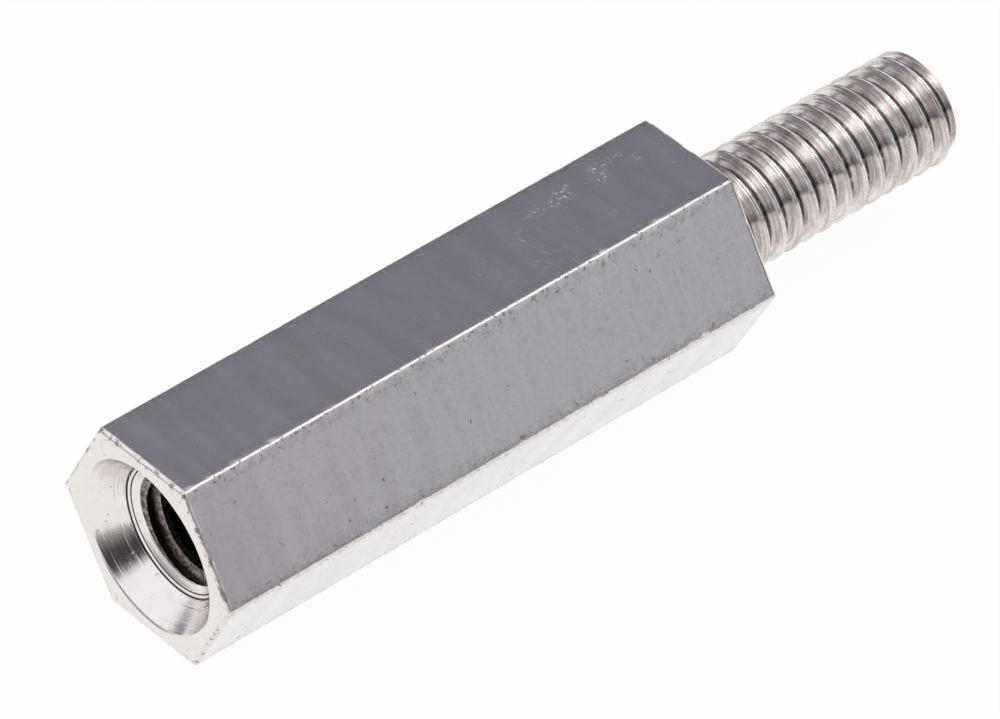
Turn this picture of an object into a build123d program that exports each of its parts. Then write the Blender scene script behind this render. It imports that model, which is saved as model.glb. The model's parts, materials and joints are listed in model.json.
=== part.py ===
from build123d import *

import os
from math import radians, tan

# Male to female hex standoff: one turned hexagon bar with a tapped hole at one end and a stud at the other.
# It lies on one of its flats. +X runs along the turned axis, from the tapped end to the stud, and +Z is up.
# The origin is under the middle of the whole piece, on the surface that the flat rests on.
# Lengths are in millimetres. The thread is M4 x 0.7: its helix is finer than the solid and is left out, so
# the stud is a plain cylinder at the thread's crests and the bore is plain at the thread's minor diameter.

# Hexagon bar
across_flats = 7.0
body_length = 22.0
edge_radius = 0.14

# Thread shared by both ends
thread_diameter = 4.0
thread_pitch = 0.7
INTERNAL_MINOR_SHARE = 1.0825
bore_diameter = thread_diameter - INTERNAL_MINOR_SHARE * thread_pitch

# Tapped hole
tapped_depth = 9.0
drill_run_past_thread = 1.5
drill_point_angle = 118.0
mouth_rim_at_flats = 0.5
mouth_cone_angle = 67.0
mouth_cone_depth = 1.05
lead_in_angle = 120.0

# Stud
stud_length = 9.7
tip_chamfer = 0.45


def hexagon_body():
    """The bar between its two faces, with the corners along it and around both faces rounded."""
    section = RegularPolygon(across_flats / 2, 6, major_radius=False, rotation=0)
    bar = extrude(Plane.YZ * section, amount=body_length)
    return fillet(bar.edges(), edge_radius)


def turned_hole():
    """The space that is drilled and countersunk from the tapped end, as half a section turned about X."""
    mouth_radius = across_flats / 2 - mouth_rim_at_flats
    cone_end_radius = mouth_radius - mouth_cone_depth * tan(radians(mouth_cone_angle / 2))
    bore_radius = bore_diameter / 2
    lead_in_depth = (cone_end_radius - bore_radius) / tan(radians(lead_in_angle / 2))
    drilled_depth = tapped_depth + drill_run_past_thread
    point_depth = bore_radius / tan(radians(drill_point_angle / 2))
    outline = Polyline(
        (0, 0),
        (0, mouth_radius),
        (mouth_cone_depth, cone_end_radius),
        (mouth_cone_depth + lead_in_depth, bore_radius),
        (drilled_depth, bore_radius),
        (drilled_depth + point_depth, 0),
        close=True,
    )
    return revolve(make_face(outline), Axis.X)


def stud():
    """The stud past the shoulder, with its tip chamfered."""
    radius = thread_diameter / 2
    outline = Polyline(
        (0, 0),
        (0, radius),
        (stud_length - tip_chamfer, radius),
        (stud_length, radius - tip_chamfer),
        (stud_length, 0),
        close=True,
    )
    return Pos(body_length, 0, 0) * revolve(make_face(outline), Axis.X)


def standoff():
    """The whole piece, moved from the middle of its tapped face to the origin it is kept at."""
    piece = hexagon_body() + stud() - turned_hole()
    total_length = body_length + stud_length
    return Pos(-total_length / 2, 0, across_flats / 2) * piece


os.makedirs("parts", exist_ok=True)
export_step(standoff(), "parts/standoff.step")
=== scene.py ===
# %% [markdown]
# # A hex standoff, turned and plated
#
# A standoff holds two boards or panels apart. This one is cut from a hexagon bar: one end is
# drilled, countersunk and tapped, and the other is turned down to a stud and threaded. The
# lesson makes its metal, then the bar, the hole and the stud, and joins them to one solid.
#
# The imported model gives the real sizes. It is loaded first and is never moved or resized.

# %% Load the frame
import json
import math

import bpy
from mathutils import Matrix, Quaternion, Vector, noise


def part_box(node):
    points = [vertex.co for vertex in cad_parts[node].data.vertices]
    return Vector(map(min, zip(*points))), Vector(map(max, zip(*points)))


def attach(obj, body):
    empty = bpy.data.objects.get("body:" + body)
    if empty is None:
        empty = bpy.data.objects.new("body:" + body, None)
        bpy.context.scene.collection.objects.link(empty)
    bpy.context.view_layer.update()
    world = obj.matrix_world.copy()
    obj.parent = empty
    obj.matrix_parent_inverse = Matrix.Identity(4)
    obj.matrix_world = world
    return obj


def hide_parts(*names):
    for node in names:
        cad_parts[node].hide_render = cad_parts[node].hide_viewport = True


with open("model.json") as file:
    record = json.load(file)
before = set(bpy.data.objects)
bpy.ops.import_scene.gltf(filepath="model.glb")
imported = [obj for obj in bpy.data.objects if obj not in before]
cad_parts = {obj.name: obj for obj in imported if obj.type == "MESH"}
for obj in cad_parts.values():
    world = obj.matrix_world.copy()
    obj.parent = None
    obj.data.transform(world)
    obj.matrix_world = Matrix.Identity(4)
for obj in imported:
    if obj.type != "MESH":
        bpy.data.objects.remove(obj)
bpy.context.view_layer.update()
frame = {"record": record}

MM = 0.001

# %% [markdown]
# ## Sizes
#
# Every size that the frame knows is read from it: the box of the node gives the length and the
# width across flats, and the mounts give the stud, the bore and the shoulder. The solid's threads
# are plain walls, so their pitch is named here: 0.7 mm, which goes with a stud of 4 mm.

# %% Read the sizes from the frame
low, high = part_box("standoff")
mounts = {mount["name"]: mount for mount in frame["record"]["mounts"]}


def wall_span(name):
    """Where the wall of a round mount starts and ends along X."""
    middle = mounts[name]["pos_m"][0]
    half = mounts[name]["dims"]["length_mm"] * MM / 2
    return middle - half, middle + half


def wall_radius(name):
    """The radius of a round mount's wall."""
    return mounts[name]["dims"]["r_mm"] * MM


tapped_face_x = low.x
tip_x = high.x
shoulder_x = mounts["shoulder"]["pos_m"][0]
axis_z = (low.z + high.z) / 2
APOTHEM = (high.z - low.z) / 2
STUD_RADIUS = wall_radius("stud")
BORE_RADIUS = wall_radius("tapped_hole")
bore_start_x, bore_end_x = wall_span("tapped_hole")
PITCH = 0.7 * MM
print("Body", round((shoulder_x - tapped_face_x) / MM, 2), "mm long")
print("Stud", round((tip_x - shoulder_x) / MM, 2), "mm long")

# %% [markdown]
# ## A helper that writes nodes
#
# A node tree is easier to read as arithmetic. One class wraps a socket, and an expression on it
# adds the Math nodes. One method adds any other node: its settings first, then its sockets. The
# same two classes write the geometry trees and the materials.

# %% Wrap sockets in a class


class Value:
    """One output socket. Arithmetic on it adds Math nodes to its tree."""

    def __init__(self, graph, socket):
        self.graph = graph
        self.socket = socket

    def math(self, operation, *others):
        values = {i: v for i, v in enumerate([self, *others])}
        return self.graph.add("ShaderNodeMath", {"operation": operation}, values)

    def flipped(self, operation, other):
        return self.graph.add("ShaderNodeMath", {"operation": operation}, {0: other, 1: self})

    def __add__(self, other):
        return self.math("ADD", other)

    def __radd__(self, other):
        return self.flipped("ADD", other)

    def __sub__(self, other):
        return self.math("SUBTRACT", other)

    def __rsub__(self, other):
        return self.flipped("SUBTRACT", other)

    def __mul__(self, other):
        return self.math("MULTIPLY", other)

    def __rmul__(self, other):
        return self.flipped("MULTIPLY", other)

    def __truediv__(self, other):
        return self.math("DIVIDE", other)

    def __pow__(self, other):
        return self.math("POWER", other)

    def between(self, start, end, kind="SMOOTHSTEP"):
        """A step from 0 at start to 1 at end, eased or straight."""
        values = {"Value": self, "From Min": start, "From Max": end}
        return self.graph.add("ShaderNodeMapRange", {"interpolation_type": kind}, values)


class Graph:
    """A node tree that nodes are added to."""

    def __init__(self, tree):
        self.tree = tree

    def put(self, socket, value):
        if isinstance(value, Value):
            self.tree.links.new(value.socket, socket)
        else:
            socket.default_value = value

    def add(self, kind, settings=None, sockets=None, output=0):
        """Adds a node of that kind and returns one of its outputs."""
        node = self.tree.nodes.new(kind)
        for name, value in (settings or {}).items():
            setattr(node, name, value)
        for key, value in (sockets or {}).items():
            self.put(node.inputs[key], value)
        return Value(self, node.outputs[output])

    def parts(self, vector):
        """The three numbers of a vector."""
        node = self.add("ShaderNodeSeparateXYZ", sockets={0: vector}).socket.node
        return [Value(self, output) for output in node.outputs]

    def vector(self, x, y, z):
        return self.add("ShaderNodeCombineXYZ", sockets={0: x, 1: y, 2: z})

    def mix(self, factor, first, second):
        """A colour between two colours."""
        node = self.add("ShaderNodeMix", {"data_type": "RGBA"}).socket.node
        self.put(node.inputs["Factor"], factor)
        self.put(node.inputs[6], first)
        self.put(node.inputs[7], second)
        return Value(self, node.outputs[2])


print("Node helpers ready")

# %% [markdown]
# ## The metal
#
# Bare metal is nearly all reflection. What makes it look real is how the reflection breaks up:
# a drawn flat is smooth with faint bands across it and a few pits, while a turned face carries
# fine rings. So there are three finishes of one plating, and each is the same shader with its
# own relief. The patterns read object coordinates, which stay put when the part moves.

# %% Start a plated metal
PLATING = (0.82, 0.79, 0.775, 1.0)
WORN_PLATING = (0.54, 0.475, 0.455, 1.0)
# Painted shade: the dark brown of the inside of the hole.
HOLE_SHADE_BROWN = (0.34, 0.27, 0.235, 1.0)
# Dark for real marks, and for painted shade in the thread grooves and the hole.
MARKS_AND_SHADE_DARK = (0.08, 0.068, 0.06, 1.0)


class Metal(Graph):
    """A plated metal, with the position on the piece ready in millimetres."""

    def __init__(self, name):
        self.material = bpy.data.materials.new(name)
        self.material.use_nodes = True
        super().__init__(self.material.node_tree)
        self.shader = self.tree.nodes["Principled BSDF"]
        place = self.add("ShaderNodeTexCoord", output="Object")
        x, y, z = self.parts(place)
        self.x = (x - tapped_face_x) / MM
        self.y = y / MM
        self.z = (z - axis_z) / MM
        self.place = self.vector(self.x, self.y, self.z)
        self.radius = (self.y * self.y + self.z * self.z) ** 0.5
        self.shader.inputs["Metallic"].default_value = 1.0

    def noise(self, scale, detail=2.0, place=None, roughness=0.5):
        """A noise from 0 to 1, with scale features to a millimetre."""
        values = {"Vector": place or self.place, "Scale": scale, "Detail": detail, "Roughness": roughness}
        return self.add("ShaderNodeTexNoise", {"normalize": True}, values)

    def finish(self, colour, roughness, height, bump_distance):
        """Feeds the shader. height is the relief, counted in steps of bump_distance metres."""
        self.put(self.shader.inputs["Base Color"], colour)
        self.put(self.shader.inputs["Roughness"], roughness)
        values = {"Height": height, "Distance": bump_distance, "Strength": 1.0}
        self.put(self.shader.inputs["Normal"], self.add("ShaderNodeBump", sockets=values))
        return self.material


print("Plating colour", PLATING[:3])

# %% [markdown]
# ### Drawn flats
#
# The flats are the skin of the drawn bar. The die leaves them smooth, and straightening rolls
# leave soft bands across them. Handling in a bin adds small pits, more of them near the edges,
# and a line of pale scuffs toward the stud on the flat that faces up. Noise makes each mark, and
# a window on the position keeps it where it belongs. Positions on the metal are in millimetres.

# %% Make the drawn finish
DRAWN_RELIEF = 0.0035 * MM
FLAT_HEIGHT = APOTHEM / MM


def scuffs(metal):
    """Small scuffs on the upper flat: a line along it toward the stud, and a few beside the line."""
    line = metal.x.between(13.2, 19.0) * metal.x.between(20.8, 20.2) * metal.y.between(0.35, 0.85)
    line = line * metal.y.between(1.55, 1.05) * metal.noise(1.3, 1.0).between(0.38, 0.50)
    scuffed = line + metal.noise(0.55, 2.0).between(0.53, 0.66) * 0.35
    spots = metal.noise(5.5, 1.0).between(0.52, 0.66) * scuffed
    upper_flat = metal.z.between(FLAT_HEIGHT - 0.10, FLAT_HEIGHT - 0.04)
    return spots * metal.x.between(6.0, 13.0) * upper_flat


def drawn_metal():
    """The finish of the six flats."""
    metal = Metal("drawn_plating")
    across = metal.vector(metal.x, metal.y * 0.2, metal.z * 0.2)
    bands = metal.noise(1.3, 4.0, across, 0.6)
    mottle = metal.noise(5.0, 5.0, roughness=0.65)
    grain = metal.noise(22.0, 2.0)
    from_middle = (metal.radius * metal.radius - FLAT_HEIGHT ** 2).math("MAXIMUM", 0.0) ** 0.5
    edge_band = from_middle.between(1.35, 2.0)
    pits = metal.noise(4.2, 1.0).between(0.70, 0.78) * metal.noise(9.0, 1.0).between(0.45, 0.6)
    edge_pits = metal.noise(7.0, 1.5).between(0.60, 0.68) * edge_band
    rim = metal.x.between(0.18, 0.05) * metal.noise(3.2, 3.0).between(0.52, 0.62)
    marks = (pits + edge_pits * 0.7 + rim * 0.8).math("MINIMUM", 1.0)
    height = bands * 0.14 + mottle * 0.42 + grain * 0.14 - marks * 0.9 - scuffs(metal) * 2.4
    # Darker toward the long edges of each flat, in patches.
    darker_toward_edges = edge_band * mottle.between(0.35, 0.6)
    dark = marks * 0.7 + bands.between(0.35, 0.65) * 0.09 + darker_toward_edges * 0.14
    dark = dark + mottle.between(0.45, 0.7) * 0.05
    roughness = 0.15 + mottle * 0.12 + marks * 0.25
    return metal.finish(metal.mix(dark, PLATING, MARKS_AND_SHADE_DARK), roughness, height, DRAWN_RELIEF)


drawn_finish = drawn_metal()
print("Made", drawn_finish.name)

# %% [markdown]
# ### Turned faces
#
# A cutting tool leaves rings around the axis on the end faces and on the countersink. The rings
# depend only on how far along and how far out a point is, so the noise is read there.

# %% Make the turned finish
TURNED_RELIEF = 0.013 * MM


def turned_metal():
    """The finish of the end faces and of the countersink."""
    metal = Metal("turned_plating")
    rings = metal.noise(7.0, 2.0, metal.vector(metal.x, metal.radius, 0.0))
    fine = metal.noise(24.0, 1.0, metal.vector(metal.x, metal.radius, 4.0))
    mottle = metal.noise(3.0, 4.0)
    nicks = metal.noise(6.5, 1.0).between(0.72, 0.78)
    height = rings * 1.1 + fine * 0.5 + mottle * 0.15 - nicks * 0.3
    roughness = 0.11 + mottle * 0.12 + nicks * 0.2
    worn = metal.radius.between(3.2, 3.9) * metal.noise(5.0, 3.0).between(0.55, 0.68)
    dark = nicks * 0.3 + worn * 0.4 + mottle.between(0.5, 0.8) * 0.06
    return metal.finish(metal.mix(dark, PLATING, MARKS_AND_SHADE_DARK), roughness, height, TURNED_RELIEF)


turned_finish = turned_metal()
print("Made", turned_finish.name)

# %% [markdown]
# ### Cut threads
#
# A die or a tap leaves the flanks a little torn along the helix: the streaks are fine from crest
# to root and long around the turn. In the hole the finish is painted shade: its streaks and specks
# turn most of the bore dark brown, where little light gets in. The groove's bottom is darkened too,
# between two radii that are given as shares of the thread's depth: painted shade, with some dirt on the
# stud.

# %% Make the thread finish
THREAD_RELIEF = 0.008 * MM
THREAD_DEPTH = 0.59 * PITCH
ROOT_RADIUS = STUD_RADIUS - THREAD_DEPTH


def thread_metal(name, root, flank_top, wear_and_shade_colour, wear_and_shade_from, base_roughness, specks):
    """The finish of a thread, darkened from flank_top down to root as painted shade, with some dirt on
    the stud, and with specks all over.
    """
    metal = Metal(name)
    along_helix = metal.vector(metal.radius * 13.0, metal.y * 0.6 + metal.x * 2.3, metal.z * 0.6)
    streaks = metal.noise(1.0, 3.0, along_helix, 0.6)
    patches = metal.noise(2.6, 3.0)
    height = streaks * 1.0 + patches * 0.15
    roughness = base_roughness + patches * 0.08
    # The bottom of the groove is darkened: painted shade, with some dirt on the stud.
    groove_soil_and_shade = metal.radius.between(flank_top / MM, root / MM) * patches.between(0.2, 0.45)
    speckle = metal.noise(8.0, 2.0).between(0.40, 0.58) * specks
    soil_and_shade = (groove_soil_and_shade * 0.80 + speckle).math("MINIMUM", 0.95)
    # Streaks take a second colour: real wear on the stud, painted shade in the hole.
    colour = metal.mix(streaks.between(wear_and_shade_from, wear_and_shade_from + 0.22) * 0.9, PLATING, wear_and_shade_colour)
    return metal.finish(metal.mix(soil_and_shade, colour, MARKS_AND_SHADE_DARK), roughness, height, THREAD_RELIEF)


# Radii of the darkened groove bottoms: painted shade, with some dirt on the stud.
stud_soil_and_shade_radii = (ROOT_RADIUS + THREAD_DEPTH * 0.06, ROOT_RADIUS + THREAD_DEPTH * 0.24)
hole_shade_radii = (STUD_RADIUS, STUD_RADIUS - THREAD_DEPTH * 0.60)
stud_finish = thread_metal("stud_thread_plating", *stud_soil_and_shade_radii, WORN_PLATING,
                           wear_and_shade_from=0.42, base_roughness=0.10, specks=0.10)
# The hole's finish is painted shade: dark brown over nearly all of the bore.
hole_shade_finish = thread_metal("hole_thread_plating", *hole_shade_radii, HOLE_SHADE_BROWN,
                           wear_and_shade_from=0.10, base_roughness=0.30, specks=0.80)
print("Made", stud_finish.name, "and", hole_shade_finish.name)

# %% [markdown]
# ## A screw that follows a rule
#
# A thread could be a profile swept along a helix, but then its two ends need closing by hand.
# Cut a screw square across instead: the cut is the same closed outline everywhere, only turned.
# So a cylinder with many rings is enough. Each point keeps its place around the outline, its
# radius follows the thread profile there, and each ring is turned on by its share of the pitch.
# The lines of points then run along the helix, so crests and roots stay crisp, and both ends are
# flat faces. Geometry Nodes do this well, and one tree serves the stud and the tap.

# %% Build the screw tree


def new_geometry_tree(name, inputs):
    """A geometry tree with those named inputs, and a graph on it."""
    tree = bpy.data.node_groups.new(name, "GeometryNodeTree")
    for label, kind in inputs.items():
        tree.interface.new_socket(name=label, in_out="INPUT", socket_type=kind)
    tree.interface.new_socket(name="Mesh", in_out="OUTPUT", socket_type="NodeSocketGeometry")
    graph = Graph(tree)
    source = tree.nodes.new("NodeGroupInput")
    sockets = {label: Value(graph, source.outputs[label]) for label in inputs}
    return tree, graph, sockets


SEAM_SHARE = 0.45
SCREW_INPUTS = {
    "Crest Radius": "NodeSocketFloat",
    "Root Radius": "NodeSocketFloat",
    "Pitch": "NodeSocketFloat",
    "Start": "NodeSocketFloat",
    "Length": "NodeSocketFloat",
    "Crest Share": "NodeSocketFloat",
    "Root Share": "NodeSocketFloat",
    "Seam Depth": "NodeSocketFloat",
    "Fade From": "NodeSocketFloat",
    "Fade To": "NodeSocketFloat",
    "Points Around": "NodeSocketInt",
    "Rings": "NodeSocketInt",
    "Metal": "NodeSocketMaterial",
}


def build_screw_tree():
    """The tree that turns a ringed cylinder into a screw along X."""
    tree, graph, given = new_geometry_tree("screw", SCREW_INPUTS)
    sizes = {"Vertices": given["Points Around"], "Side Segments": given["Rings"], "Radius": 1.0}
    sizes["Depth"] = given["Length"]
    cylinder = graph.add("GeometryNodeMeshCylinder", {"fill_type": "NGON"}, sizes)
    x, y, z = graph.parts(graph.add("GeometryNodeInputPosition"))
    along = z + given["Length"] / 2.0
    place_around = y.math("ARCTAN2", x) / math.tau
    from_root = (place_around.math("FRACT") * 2.0 - 1.0).math("ABSOLUTE")
    profile = from_root.between(given["Root Share"], 1.0 - given["Crest Share"], "LINEAR")
    on_seam = from_root.between(1.0 - given["Crest Share"] * SEAM_SHARE, 1.0, "LINEAR")
    seam = on_seam * given["Seam Depth"]
    here = along + given["Start"]
    fade = here.between(given["Fade From"], given["Fade To"])
    depth = ((given["Crest Radius"] - given["Root Radius"]) * (1.0 - profile) + seam) * fade
    turn = (place_around + along / given["Pitch"]) * math.tau
    radius = given["Crest Radius"] - depth
    place = graph.vector(here, radius * turn.math("COSINE"), radius * turn.math("SINE") + axis_z)
    moved = graph.add("GeometryNodeSetPosition", sockets={"Geometry": cylinder, "Position": place})
    real = graph.add("GeometryNodeRealizeInstances", sockets={"Geometry": moved})
    done = graph.add("GeometryNodeSetMaterial", sockets={"Geometry": real, "Material": given["Metal"]})
    graph.put(tree.nodes.new("NodeGroupOutput").inputs["Mesh"], done)
    return tree


screw_tree = build_screw_tree()
print("Screw tree has", len(screw_tree.nodes), "nodes")

# %% [markdown]
# A tree's result becomes a plain mesh before anything else is done with it, because the export
# doesn't keep live instances. The inputs are set by identifier before the first evaluation.

# %% Run a tree and keep its mesh


def object_from(mesh, name):
    """A new object in the scene for a mesh."""
    made = bpy.data.objects.new(name, mesh)
    bpy.context.collection.objects.link(made)
    return made


def applied(made):
    """The same object with its modifiers worked into its mesh."""
    evaluated = made.evaluated_get(bpy.context.evaluated_depsgraph_get())
    mesh = bpy.data.meshes.new_from_object(evaluated)
    made.modifiers.clear()
    made.data = mesh
    return made


def grown(name, tree, values):
    """An object whose mesh comes from a geometry tree with those inputs."""
    made = object_from(bpy.data.meshes.new(name), name)
    modifier = made.modifiers.new("grow", "NODES")
    modifier.node_group = tree
    inputs = [item for item in tree.interface.items_tree if item.in_out == "INPUT"]
    identifiers = {item.name: item.identifier for item in inputs}
    for label, value in values.items():
        modifier[identifiers[label]] = value
    made.update_tag()
    bpy.context.view_layer.update()
    return applied(made)


def screw(name, crest_radius, root_radius, start, end, fade, shares, seam, fineness, metal):
    """A threaded rod along X from start to end. Its grooves deepen between the two places in fade.

    shares are the parts of the pitch that are flat, at the crest and at the root. seam is the depth
    of a fine groove along the crest, and fineness is the points around and the rings to a turn.
    """
    crest_share, root_share = shares
    points_around, rings_per_turn = fineness
    made = grown(name, screw_tree, {
        "Crest Radius": crest_radius,
        "Root Radius": root_radius,
        "Pitch": PITCH,
        "Start": start,
        "Length": end - start,
        "Crest Share": crest_share,
        "Root Share": root_share,
        "Fade From": fade[0],
        "Fade To": fade[1],
        "Seam Depth": seam,
        "Points Around": points_around,
        "Rings": round((end - start) / PITCH * rings_per_turn),
        "Metal": metal,
    })
    print(name, "has", len(made.data.polygons), "faces")
    return made


# %% [markdown]
# ## Turned shapes
#
# The outside of the stud and the inside of the hole are turned, so each is an outline spun about
# the axis. The outline starts and ends on the axis, where one point serves the whole ring: that
# keeps the pole closed, which the later cuts need.

# %% Spin an outline
TURNED_SEGMENTS = 160


def turned(name, outline):
    """A closed solid of revolution about X. outline is (x, radius, finish), from pole to pole.

    The finish is that of the wall from the point to the next one.
    """
    inner = outline[1:-1]
    points = [(outline[0][0], 0.0, axis_z)]
    for x, radius, _ in inner:
        for step in range(TURNED_SEGMENTS):
            angle = math.tau * step / TURNED_SEGMENTS
            points.append((x, radius * math.cos(angle), axis_z + radius * math.sin(angle)))
    points.append((outline[-1][0], 0.0, axis_z))
    faces = []
    finishes = []
    last_ring = 1 + (len(inner) - 1) * TURNED_SEGMENTS
    for step in range(TURNED_SEGMENTS):
        following = (step + 1) % TURNED_SEGMENTS
        faces.append((0, 1 + following, 1 + step))
        finishes.append(outline[0][2])
        for ring, (_, _, finish) in enumerate(inner[:-1]):
            here = 1 + ring * TURNED_SEGMENTS
            there = here + TURNED_SEGMENTS
            faces.append((here + step, here + following, there + following, there + step))
            finishes.append(finish)
        faces.append((last_ring + step, last_ring + following, len(points) - 1))
        finishes.append(inner[-1][2])
    mesh = bpy.data.meshes.new(name)
    mesh.from_pydata(points, [], faces)
    order = list(dict.fromkeys(finishes))
    for finish in order:
        mesh.materials.append(finish)
    for polygon, finish in zip(mesh.polygons, finishes):
        polygon.material_index = order.index(finish)
    return object_from(mesh, name)


print("Turned shapes use", TURNED_SEGMENTS, "segments")

# %% [markdown]
# ## The hexagon bar
#
# A plain prism would have edges like a knife, and no real bar has them. The long edges are
# rounded by the drawing die, the ends by tumbling, and both are nicked. The skin is a grid of
# rings along X. Each ring is a hexagon with rounded corners, drawn in a little near the ends, and
# the points lie close together beside an edge, so that its rounding doesn't shade the flat.

# %% Lay out the bar's section and stations
SIDES = 6
CORNER_DEGREES = 360 / SIDES
EDGE_RADIUS = 0.14 * MM
INSIDE = 0.001 * MM
GRID_STEP = 0.13 * MM
SUPPORT = 0.03 * MM
CORNER_STEPS = 5
RIM_STEPS = 5
RIM_SWEEP = math.radians(86)


def spread(start, end, step):
    """Evenly spaced numbers from start to end, about a step apart, both included."""
    count = max(2, round(abs(end - start) / step))
    return [start + (end - start) * i / count for i in range(count + 1)]


def section_points():
    """One ring of the bar: each point's arc centre, its direction, and how much of an edge it is."""
    half_corner = CORNER_DEGREES / 2
    arc_apothem = APOTHEM - EDGE_RADIUS
    reach = arc_apothem / math.cos(math.radians(half_corner))
    inner = arc_apothem * math.tan(math.radians(half_corner)) - SUPPORT
    points = []
    for corner in range(SIDES):
        middle = math.radians(CORNER_DEGREES * corner)
        centre = Vector((math.cos(middle), math.sin(middle))) * reach
        for turn in spread(-half_corner, half_corner, CORNER_DEGREES / CORNER_STEPS):
            angle = middle + math.radians(turn)
            points.append((centre, Vector((math.cos(angle), math.sin(angle))), 1.0))
        normal_angle = middle + math.radians(half_corner)
        normal = Vector((math.cos(normal_angle), math.sin(normal_angle)))
        side = Vector((-normal.y, normal.x))
        for offset in spread(-inner, inner, GRID_STEP):
            points.append((normal * arc_apothem + side * offset, normal, 0.0))
    return points


def stations():
    """Places along X with the inset and the share of rim rounding there."""
    first = []
    for step in range(RIM_STEPS, 0, -1):
        turn = RIM_SWEEP * step / RIM_STEPS
        first.append((EDGE_RADIUS * (1 - math.sin(turn)), EDGE_RADIUS * (1 - math.cos(turn)), 1.0))
    length = shoulder_x - tapped_face_x
    inner = EDGE_RADIUS + SUPPORT
    straight = [EDGE_RADIUS, *spread(inner, length - inner, GRID_STEP), length - EDGE_RADIUS]
    middle = [(x, 0.0, 0.0) for x in straight]
    last = [(length - x, inset, share) for x, inset, share in reversed(first)]
    return first + middle + last


print("Section has", len(section_points()), "points and the bar", len(stations()), "stations")

# %% [markdown]
# The points on the roundings then sink, always inwards. A ripple keeps the rounding from being
# even, and where a slow noise and a sharp one agree, a nick is missing. The ends of the bar are
# nicked more than its long edges, because they take the knocks.

# %% Sink the nicks and skin the bar
NICK_DEPTH = 0.03 * MM
RIPPLE_DEPTH = 0.008 * MM
SLOW_SHARE = 0.4
NICKED_ABOVE = 0.22
FULL_NICK_OVER = 0.5
LONG_EDGE_WEAR = 0.45
MOST_OF_ROUNDING = 0.9


def missing_metal(place):
    """How deep the metal is missing at a place on an edge, in metres."""
    mm = place / MM
    slow = noise.noise(mm * 0.9)
    ripple = 0.5 + 0.5 * noise.noise(mm * 3.1 + Vector((7.0, 0.0, 0.0)))
    sharp = noise.noise(mm * 2.7 + Vector((0.0, 19.0, 0.0)))
    nick = max(0.0, sharp + SLOW_SHARE * slow - NICKED_ABOVE) / FULL_NICK_OVER
    return RIPPLE_DEPTH * ripple + NICK_DEPTH * min(1.0, nick)


def bar_skin():
    """The hexagon bar between its end faces, closed."""
    section = section_points()
    places = stations()
    points = []
    for along, inset, rim in places:
        for foot, direction, corner in section:
            radius = EDGE_RADIUS - inset - INSIDE
            flat = foot + direction * radius
            place = Vector((tapped_face_x + along, flat.x, flat.y))
            sunk = missing_metal(place) * max(rim, corner * LONG_EDGE_WEAR)
            flat -= direction * min(sunk, radius * MOST_OF_ROUNDING)
            points.append((place.x, flat.x, axis_z + flat.y))
    around = len(section)
    faces = [tuple(range(around - 1, -1, -1))]
    for station in range(len(places) - 1):
        here = station * around
        there = here + around
        for step in range(around):
            following = (step + 1) % around
            faces.append((here + step, here + following, there + following, there + step))
    faces.append(tuple(range((len(places) - 1) * around, len(places) * around)))
    mesh = bpy.data.meshes.new("bar")
    mesh.from_pydata(points, [], faces)
    mesh.materials.append(drawn_finish)
    mesh.materials.append(turned_finish)
    for cap in (mesh.polygons[0], mesh.polygons[-1]):
        cap.material_index = 1
    return object_from(mesh, "bar")


bar = bar_skin()
print("Bar has", len(bar.data.polygons), "faces")

# %% [markdown]
# ## The hole
#
# The hole is one turned shape to take away: a wide cone at the mouth, a narrow ledge at its foot
# and the drilled bore with its point. The drill and the countersink leave two fine grooves where
# they meet; these grooves and the ledge's lower part take the hole's dark finish, as painted shade.
# The tap is a screw that is taken away afterwards, so its thread starts in the ledge the way a real
# one does. The mounts don't give the mouth and the drill's point, so their sizes are named here, as the
# solid has them.

# %% Make the hole
RIM_AT_FLATS = 0.5 * MM
CONE_DEPTH = 1.05 * MM
CONE_HALF_ANGLE = math.radians(33.5)
LIP = 0.04 * MM
GROOVE = 0.022 * MM
GROOVE_FLARE = 0.6
FIRST_GROOVE_END = 0.09
SECOND_GROOVE = (0.19, 0.22, 0.25)
# From here into the bore the ledge has the hole's finish: painted shade.
SHADED_LEDGE_START = 0.60
DRILL_POINT_HALF_ANGLE = math.radians(59)
DRILL_RUN_PAST_THREAD = 1.5 * MM
OVERSHOOT = 0.3 * MM


def hole_outline():
    """The hole from outside its mouth to the drill point."""
    mouth = APOTHEM - RIM_AT_FLATS
    slope = math.tan(CONE_HALF_ANGLE)
    foot = mouth - CONE_DEPTH * slope
    foot_x = tapped_face_x + CONE_DEPTH
    point_x = bore_end_x + BORE_RADIUS / math.tan(DRILL_POINT_HALF_ANGLE)

    def ledge(share, finish, sunk=0.0):
        """A point on the ledge, that share of the way from the cone's foot to the bore."""
        x = foot_x + (bore_start_x - foot_x) * share + sunk
        return x, foot + (BORE_RADIUS - foot) * share, finish

    return [
        (tapped_face_x - OVERSHOOT, 0.0, turned_finish),
        (tapped_face_x - OVERSHOOT, mouth + LIP + OVERSHOOT, turned_finish),
        (tapped_face_x, mouth + LIP, turned_finish),
        (tapped_face_x + LIP, mouth - LIP * slope, turned_finish),
        # The walls with the hole's finish, the two grooves and the lower ledge, are painted shade.
        ledge(0.0, hole_shade_finish),
        (foot_x + GROOVE, foot + GROOVE * GROOVE_FLARE, hole_shade_finish),
        ledge(FIRST_GROOVE_END, turned_finish),
        ledge(SECOND_GROOVE[0], hole_shade_finish),
        ledge(SECOND_GROOVE[1], hole_shade_finish, GROOVE),
        ledge(SECOND_GROOVE[2], turned_finish),
        ledge(SHADED_LEDGE_START, hole_shade_finish),
        (bore_start_x, BORE_RADIUS, hole_shade_finish),
        (bore_end_x, BORE_RADIUS, hole_shade_finish),
        (point_x, 0.0, None),
    ]


hole = turned("hole", hole_outline())
print("Hole has", len(hole.data.polygons), "faces")

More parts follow.
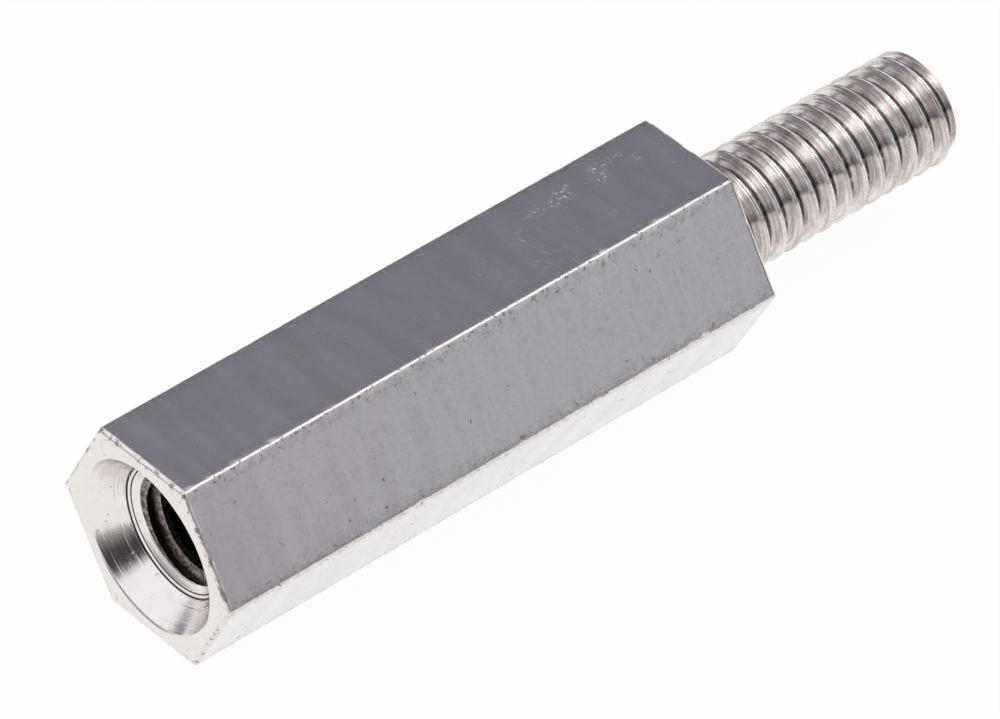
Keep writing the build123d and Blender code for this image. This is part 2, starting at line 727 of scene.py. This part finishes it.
# %% [markdown]
# The tap's thread is narrow at the bottom of its groove and leaves a wide crest in the hole. It
# reaches from outside the mouth, and stops short of the drill point because a tap can't cut to
# the bottom. Where it starts along the axis only turns the thread. Its root lies a hair inside
# the bore's wall, so that the two walls never coincide.

# %% Make the tap
TAP_START = tapped_face_x - 0.5 * MM
TAP_END = bore_end_x - DRILL_RUN_PAST_THREAD
TAP_FADE = (TAP_START - PITCH, TAP_START)
TAP_ROOT_RADIUS = BORE_RADIUS - 0.02 * MM
TAP_SHARES = (0.15, 0.22)
TAP_SEAM = 0.0
TAP_FINENESS = (32, 30)
tap = screw("tap", STUD_RADIUS, TAP_ROOT_RADIUS, TAP_START, TAP_END,
            TAP_FADE, TAP_SHARES, TAP_SEAM, TAP_FINENESS, hole_shade_finish)

# %% [markdown]
# ## The stud
#
# The stud is a screw kept only inside a turned envelope, which gives the tip its chamfer with the
# thread running out over it. The screw stands a hair proud of the envelope and runs past both its
# ends, so that the envelope trims it. The envelope starts inside the bar, so the two overlap and
# join. The die's last turn is shallow, so the groove deepens as it leaves the shoulder, and rolling
# leaves a fine seam along the crest.

# %% Make the stud
STUD_OVERLAP = 0.5 * MM
RUN_OUT = 0.6 * MM
PROUD = 0.01 * MM
CREST_SEAM = 0.035 * MM
STUD_SHARES = (0.20, 0.14)
STUD_FINENESS = (48, 34)


def stud_outline():
    """The stud's envelope from inside the bar to its tip."""
    chamfer_start = wall_span("stud")[1]
    chamfer = tip_x - chamfer_start
    start = shoulder_x - STUD_OVERLAP
    crest = STUD_RADIUS - INSIDE
    return [
        (start, 0.0, stud_finish),
        (start, crest, stud_finish),
        (chamfer_start, crest, stud_finish),
        (tip_x, crest - chamfer, turned_finish),
        (tip_x, 0.0, None),
    ]


STUD_START = shoulder_x - 2 * STUD_OVERLAP
STUD_END = tip_x + OVERSHOOT
STUD_FADE = (shoulder_x - STUD_OVERLAP / 2, shoulder_x + RUN_OUT)
envelope = turned("envelope", stud_outline())
stud = screw("stud", STUD_RADIUS + PROUD, ROOT_RADIUS, STUD_START, STUD_END,
             STUD_FADE, STUD_SHARES, CREST_SEAM, STUD_FINENESS, stud_finish)

# %% [markdown]
# ## One solid
#
# The real thing is one piece of metal, so the visual is one closed mesh: the stud is joined to
# the bar, and the hole and the tap are taken away. Each shape is closed, so the quick solver for
# closed shapes does it exactly. A smooth shade with sharp edges kept by angle finishes it.

# %% Join and cut
SHARP_ANGLE = math.radians(22)


def combined(target, operation, tool):
    """target with tool joined, cut away or kept inside, and tool removed."""
    modifier = target.modifiers.new(operation, "BOOLEAN")
    modifier.operation = operation
    modifier.solver = "MANIFOLD"
    modifier.material_mode = "TRANSFER"
    modifier.object = tool
    applied(target)
    bpy.data.objects.remove(tool)
    return target


combined(stud, "INTERSECT", envelope)
combined(bar, "UNION", stud)
combined(bar, "DIFFERENCE", hole)
combined(bar, "DIFFERENCE", tap)
standoff = bar
standoff.name = "standoff_turned"
standoff.data.name = "standoff_turned"
standoff.data.shade_smooth()
standoff.data.set_sharp_from_angle(angle=SHARP_ANGLE)
print("Standoff has", sum(len(p.vertices) - 2 for p in standoff.data.polygons), "triangles")

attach(standoff, "root")
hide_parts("standoff")

# %% [markdown]
# ## The table
#
# The part lies on a white table top. Metal must see it as evenly white, and the camera nearly so,
# with a little of the soft shadow left in. So the paper is mixed with plain white light, by the
# kind of ray that meets it. From below it is clear, so that the part's underside can be looked at.

# %% Set the table
FLOOR_SIZE = 1.2
PAPER = (0.86, 0.86, 0.86, 1.0)
PAPER_ROUGHNESS = 0.9
WHITE = (1.0, 1.0, 1.0, 1.0)
WHITE_SEEN_BY_CAMERA = 0.965


def floor_paper():
    """White paper that keeps a soft shadow for the camera and none for metal."""
    material = bpy.data.materials.new("floor_paper")
    material.use_nodes = True
    graph = Graph(material.node_tree)
    shader = graph.tree.nodes["Principled BSDF"]
    shader.inputs["Base Color"].default_value = PAPER
    shader.inputs["Roughness"].default_value = PAPER_ROUGHNESS
    light_path = graph.add("ShaderNodeLightPath").socket.node
    to_camera = Value(graph, light_path.outputs["Is Camera Ray"])
    seen = to_camera * WHITE_SEEN_BY_CAMERA
    seen = seen + Value(graph, light_path.outputs["Is Glossy Ray"])
    white = graph.add("ShaderNodeEmission", sockets={"Color": WHITE, "Strength": 1.0})
    paper = Value(graph, shader.outputs[0])
    mixed = graph.add("ShaderNodeMixShader", sockets={0: seen, 1: paper, 2: white})
    clear = graph.add("ShaderNodeBsdfTransparent")
    from_below = graph.add("ShaderNodeNewGeometry", output="Backfacing") * to_camera
    surface = graph.add("ShaderNodeMixShader", sockets={0: from_below, 1: mixed, 2: clear})
    graph.put(graph.tree.nodes["Material Output"].inputs["Surface"], surface)
    return material


def studio_floor():
    """The table top, at the height of the part's lowest point."""
    half = FLOOR_SIZE / 2
    corners = [(-half, -half, low.z), (half, -half, low.z), (half, half, low.z), (-half, half, low.z)]
    mesh = bpy.data.meshes.new("floor")
    mesh.from_pydata(corners, [], [(0, 1, 2, 3)])
    mesh.materials.append(floor_paper())
    floor = object_from(mesh, "floor")
    return floor


table_top = studio_floor()
print("Table top", round(table_top.dimensions.x, 2), "m wide")

# %% [markdown]
# ## The room
#
# Polished metal shows the room, so the room is designed. It is the world's colour by direction,
# which only the metal and the lighting see; behind the part the camera sees white. A direction is
# three numbers: z is how high it points, from 0 at the table to 1 overhead, x goes toward the stud
# and -y toward the side on which the camera stands. The back wall, which the upper flat shows, is
# dim. The side wall, which the next flat shows, is grey, and it brightens upward and toward the
# stud. The wall at the tapped end is bright and the far wall, past the stud, is a lighter grey.
# Low down there is a grey patch at the tapped end, on the camera's side, and a dark corner past
# the stud. A dark card beside the camera gives the mouth's cone its dark band.

# %% Colour the walls


def ramp(graph, value, stops):
    """A colour that changes with value. stops is a list of (place, colour)."""
    made = graph.add("ShaderNodeValToRGB", sockets={0: value})
    elements = made.socket.node.color_ramp.elements
    for element, (place, colour) in zip(elements, (stops[0], stops[-1])):
        element.position = place
        element.color = (*colour, 1.0)
    for place, colour in stops[1:-1]:
        elements.new(place).color = (*colour, 1.0)
    return made


SIDE_WALL = [
    (0.0, (0.02, 0.016, 0.014)),
    (0.05, (0.035, 0.03, 0.026)),
    (0.11, (0.07, 0.062, 0.06)),
    (0.15, (0.32, 0.30, 0.33)),
    (0.175, (0.465, 0.44, 0.52)),
    (0.30, (0.50, 0.48, 0.51)),
    (0.62, (0.70, 0.66, 0.67)),
    (0.78, (0.93, 0.91, 0.92)),
    (0.86, (1.05, 1.05, 1.05)),
]
BACK_WALL = [
    (0.0, (0.30, 0.29, 0.31)),
    (0.58, (0.205, 0.20, 0.245)),
    (0.74, (0.205, 0.20, 0.245)),
    (0.88, (1.0, 1.0, 1.0)),
]
END_WALL = (1.06, 1.04, 1.07, 1.0)
FAR_WALL = (0.62, 0.60, 0.62, 1.0)
LOW_WALL = (0.43, 0.41, 0.405, 1.0)
DARK_CORNER = (0.05, 0.04, 0.036, 1.0)
DARK_CARD = (0.045, 0.04, 0.04, 1.0)
SIDE_GLOW = (0.88, 0.95, 1.0, 1.0)
SIDE_GLOW_SHARE = 0.48
CARD_DIRECTION = Vector((-0.655, -0.575, 0.495)).normalized()
print("Side wall has", len(SIDE_WALL), "tones and the back wall", len(BACK_WALL))

# %% [markdown]
# The walls are then laid over one another, the later ones on top. Each has a mask made of eased
# steps on x, y and z, so no wall has a hard edge that the metal would show.

# %% Build the room


def studio_room():
    """The world: a room that metal sees, and white for the camera."""
    world = bpy.data.worlds.new("studio")
    bpy.context.scene.world = world
    world.use_nodes = True
    graph = Graph(world.node_tree)
    x, y, z = graph.parts(graph.add("ShaderNodeTexCoord", output="Generated"))
    glow = x.between(0.40, 0.55) * SIDE_GLOW_SHARE
    side = graph.mix(glow, ramp(graph, z, SIDE_WALL), SIDE_GLOW)
    dark_corner = x.between(0.53, 0.60) * z.between(0.34, 0.18)
    side = graph.mix(dark_corner, side, DARK_CORNER)
    to_side = (y * -1.0).between(-0.30, 0.20)
    room = graph.mix(to_side, ramp(graph, z, BACK_WALL), side)
    past_stud = x.between(0.60, 0.75) * z.between(0.33, 0.47)
    room = graph.mix(past_stud, room, FAR_WALL)
    tapped_end = x.between(0.34, 0.10) * z.between(0.15, 0.45)
    room = graph.mix(tapped_end, room, END_WALL)
    near_floor = x.between(-0.30, -0.50) * y.between(-0.40, -0.62) * z.between(0.32, 0.08)
    room = graph.mix(near_floor, room, LOW_WALL)
    facing = x * CARD_DIRECTION.x + y * CARD_DIRECTION.y + z * CARD_DIRECTION.z
    on_card = facing.between(0.86, 0.985) * y.between(-0.22, -0.46)
    room = graph.mix(on_card, room, DARK_CARD)
    to_camera = graph.add("ShaderNodeLightPath", output="Is Camera Ray")
    background = graph.tree.nodes["Background"]
    graph.put(background.inputs["Color"], graph.mix(to_camera, room, WHITE))
    return world


room_world = studio_room()
print("Room has", len(room_world.node_tree.nodes), "nodes")

# %% [markdown]
# The room lights the part evenly by itself. One soft lamp above adds the bright line along the
# upper long edge and a hint of shadow under the part. It is kept weak, about as bright as white
# paper, so that colours render as they are written.

# %% Light it
LAMP_DISTANCE = 0.5
LAMP_DIRECTION = (0.45, -0.22, 0.87)
LAMP_SIZE = 0.24
LAMP_POWER = 0.20


def soft_lamp(name, direction, size, power):
    """A square soft lamp that looks at the part from a direction."""
    light = bpy.data.lights.new(name, "AREA")
    light.shape = "SQUARE"
    light.size = size
    light.energy = power
    lamp = object_from(light, name)
    toward = Vector(direction).normalized()
    lamp.rotation_mode = "QUATERNION"
    lamp.location = toward * LAMP_DISTANCE
    lamp.rotation_quaternion = (-toward).to_track_quat("-Z", "Y")
    return lamp


overhead = soft_lamp("overhead_softbox", LAMP_DIRECTION, LAMP_SIZE, LAMP_POWER)
print("Lamp at", [round(v, 3) for v in overhead.location])

# %% [markdown]
# ## The camera
#
# A long lens far away keeps the long edges nearly parallel. The camera looks down on the tapped
# end from the side of the part, turned by a degree or two as a hand-held one is.

# %% Place the camera
VIEW_DISTANCE = 252.048 * MM
VIEW_AZIMUTH = math.radians(39.3428)
VIEW_ELEVATION = math.radians(40.5923)
VIEW_ROLL = math.radians(-1.889)
FOCAL_LENGTH = 291.77
AIM = Vector((-1.5805, 0.2854, 2.5882)) * MM
NEAREST_SEEN = 0.01
FARTHEST_SEEN = 10.0


def place_camera():
    """The camera, a distance back from its aim."""
    camera = object_from(bpy.data.cameras.new("camera"), "camera")
    level = math.cos(VIEW_ELEVATION)
    north = math.cos(VIEW_AZIMUTH) * level
    east = math.sin(VIEW_AZIMUTH) * level
    forward = Vector((east, north, -math.sin(VIEW_ELEVATION)))
    roll = Quaternion((0.0, 0.0, 1.0), VIEW_ROLL)
    camera.data.lens = FOCAL_LENGTH
    camera.data.clip_start = NEAREST_SEEN
    camera.data.clip_end = FARTHEST_SEEN
    camera.rotation_mode = "QUATERNION"
    camera.location = AIM - forward * VIEW_DISTANCE
    camera.rotation_quaternion = forward.to_track_quat("-Z", "Y") @ roll
    bpy.context.scene.camera = camera
    return camera


camera = place_camera()
print("Camera at, mm:", [round(v / MM, 1) for v in camera.location])
bpy.context.scene.view_settings.view_transform = "Standard"
